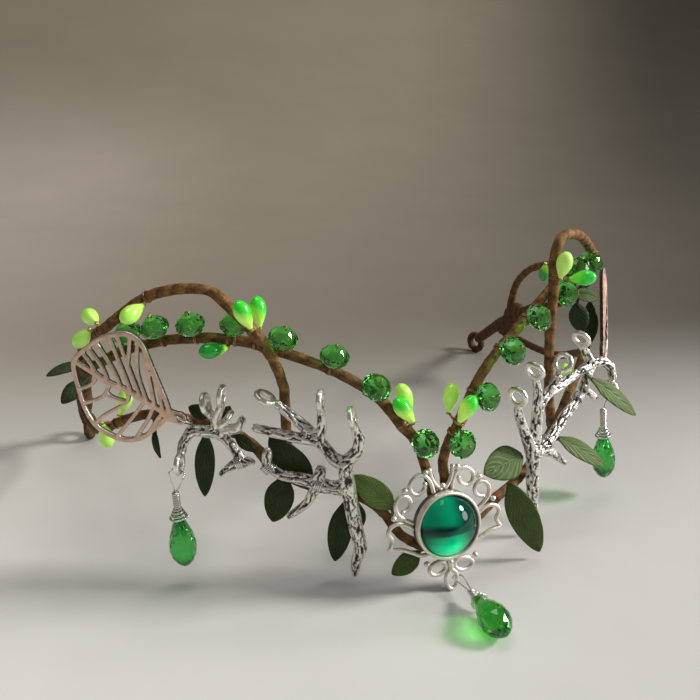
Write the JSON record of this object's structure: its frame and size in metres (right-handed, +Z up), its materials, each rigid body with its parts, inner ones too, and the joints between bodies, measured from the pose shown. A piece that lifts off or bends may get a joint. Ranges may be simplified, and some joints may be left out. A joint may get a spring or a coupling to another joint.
{
  "type": "diadem",
  "caption": "Open diadem of tape-wrapped wires with glass beads, buds, drops, cloth leaves, bark twigs, leaf filigree and a round stone in a scroll setting; ties on by two rear eyelets.",
  "frame": {"origin": "centre of the bounding box, on the surface it rests on", "axes": "-Y is the front with the large stone, +X is the wearer's left, +Z is up"},
  "size_m": [0.1832, 0.1764, 0.0894],
  "materials": {
    "paper_tape": "matte brown paper tape wound in a helix over wire",
    "antique_silver": "antiqued silver, dark in the hollows and bright on the edges",
    "cabochon_glass": "polished emerald green, deep and nearly opaque",
    "copper": "copper filigree with bright edges and dark recesses",
    "green_glass": "clear green faceted glass",
    "bud_glass": "two-tone lime to dark green glazed glass",
    "leaf_cloth": "matte olive cloth with raised veins"
  },
  "bodies": {
    "root": {"band_left": "paper_tape", "band_right": "paper_tape", "bead_wire_left": "paper_tape", "bead_wire_right": "paper_tape", "arch_left": "paper_tape", "arch_right": "paper_tape", "tail_left": "paper_tape", "tail_right": "paper_tape", "setting": "antique_silver", "cabochon": "cabochon_glass", "twig_left_inner": "antique_silver", "twig_left_outer": "antique_silver", "twig_right_inner": "antique_silver", "twig_right_outer": "antique_silver", "filigree_left": "copper", "filigree_right": "copper", "drop_left": "green_glass", "drop_left_wire": "antique_silver", "drop_right": "green_glass", "drop_right_wire": "antique_silver", "drop_centre": "green_glass", "drop_centre_wire": "antique_silver", "bead_left_1": "green_glass", "bead_left_2": "green_glass", "bead_left_3": "green_glass", "bead_left_4": "green_glass", "bead_left_5": "green_glass", "bead_left_6": "green_glass", "bead_left_7": "green_glass", "bead_left_8": "green_glass", "bead_right_1": "green_glass", "bead_right_2": "green_glass", "bead_right_3": "green_glass", "bead_right_4": "green_glass", "bead_right_5": "green_glass", "bead_right_6": "green_glass", "bead_right_7": "green_glass", "buds_left_centre": "bud_glass", "buds_left_crossing": "bud_glass", "bud_left_under": "bud_glass", "bud_left_arch": "bud_glass", "buds_left_temple": "bud_glass", "buds_left_band": "bud_glass", "buds_right_centre": "bud_glass", "buds_right_crossing": "bud_glass", "bud_right_arch": "bud_glass", "bud_right_band": "bud_glass", "leaves_left_front": "leaf_cloth", "leaves_left_trunk": "leaf_cloth", "leaf_left_setting": "leaf_cloth", "leaves_left_outer": "leaf_cloth", "leaf_left_side": "leaf_cloth", "leaves_left_temple": "leaf_cloth", "leaves_right_front": "leaf_cloth", "leaf_right_lower": "leaf_cloth", "leaf_right_upper": "leaf_cloth", "leaves_right_temple": "leaf_cloth", "leaf_right_side": "leaf_cloth"}
  },
  "joints": []
}
